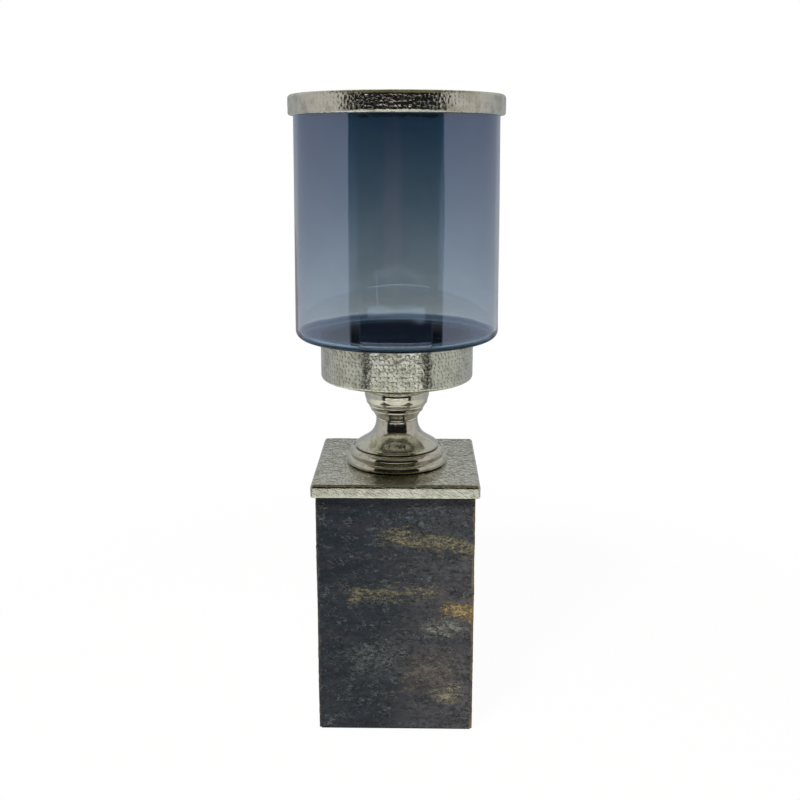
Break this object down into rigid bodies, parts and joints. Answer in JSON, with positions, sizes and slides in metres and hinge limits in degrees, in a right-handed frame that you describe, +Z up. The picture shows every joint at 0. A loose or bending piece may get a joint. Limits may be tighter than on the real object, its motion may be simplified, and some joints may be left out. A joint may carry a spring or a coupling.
{
  "type": "hurricane candle lantern",
  "caption": "Glass hurricane shade with a lift-off rim ring, standing in a cup on a turned stem and a square pedestal.",
  "frame": {"origin": "middle of the underside of the felt, on the surface that the lantern stands on", "axes": "+Z up along the stem; the front of the pedestal faces -Y and +X is to the right of someone facing it"},
  "size_m": [0.1578, 0.1578, 0.4738],
  "materials": {
    "nickel_hammered": "hammered, nickel plated",
    "nickel_polished": "cast, polished, nickel plated",
    "smoke_glass": "blown, smoke blue with a lustre coat",
    "slate_finish": "distressed slate paint, worn at the edges",
    "fibreboard": "raw fibreboard",
    "felt": "black felt",
    "clear_rubber": "clear silicone",
    "zinc_steel": "zinc plated"
  },
  "bodies": {
    "root": {"base_felt": "felt", "base_board": "fibreboard", "base_screw_1": "zinc_steel", "base_screw_2": "zinc_steel", "base_screw_3": "zinc_steel", "base_screw_4": "zinc_steel", "panel_front": "slate_finish", "panel_right": "slate_finish", "panel_back": "slate_finish", "panel_left": "slate_finish", "corner_block_1": "fibreboard", "corner_block_2": "fibreboard", "corner_block_3": "fibreboard", "corner_block_4": "fibreboard", "top_board": "fibreboard", "cap_plate": "nickel_hammered", "foot_ring": "nickel_polished", "stem_trumpet": "nickel_polished", "stem_knop": "nickel_polished", "holder_cup": "nickel_hammered", "cup_gasket": "clear_rubber", "cup_washer": "zinc_steel", "cup_nut": "zinc_steel", "tie_rod": "zinc_steel", "rod_washer": "zinc_steel", "rod_nut": "zinc_steel"},
    "shade": {"hurricane_glass": "smoke_glass"},
    "ring": {"top_ring": "nickel_hammered", "rim_cushion": "clear_rubber"}
  },
  "joints": [
    {"name": "shade_lift", "type": "slide", "parent": "root", "child": "shade", "axis": [0, 0, 1], "range_m": [0, 0.06]},
    {"name": "ring_lift", "type": "slide", "parent": "shade", "child": "ring", "axis": [0, 0, 1], "range_m": [0, 0.04]}
  ]
}
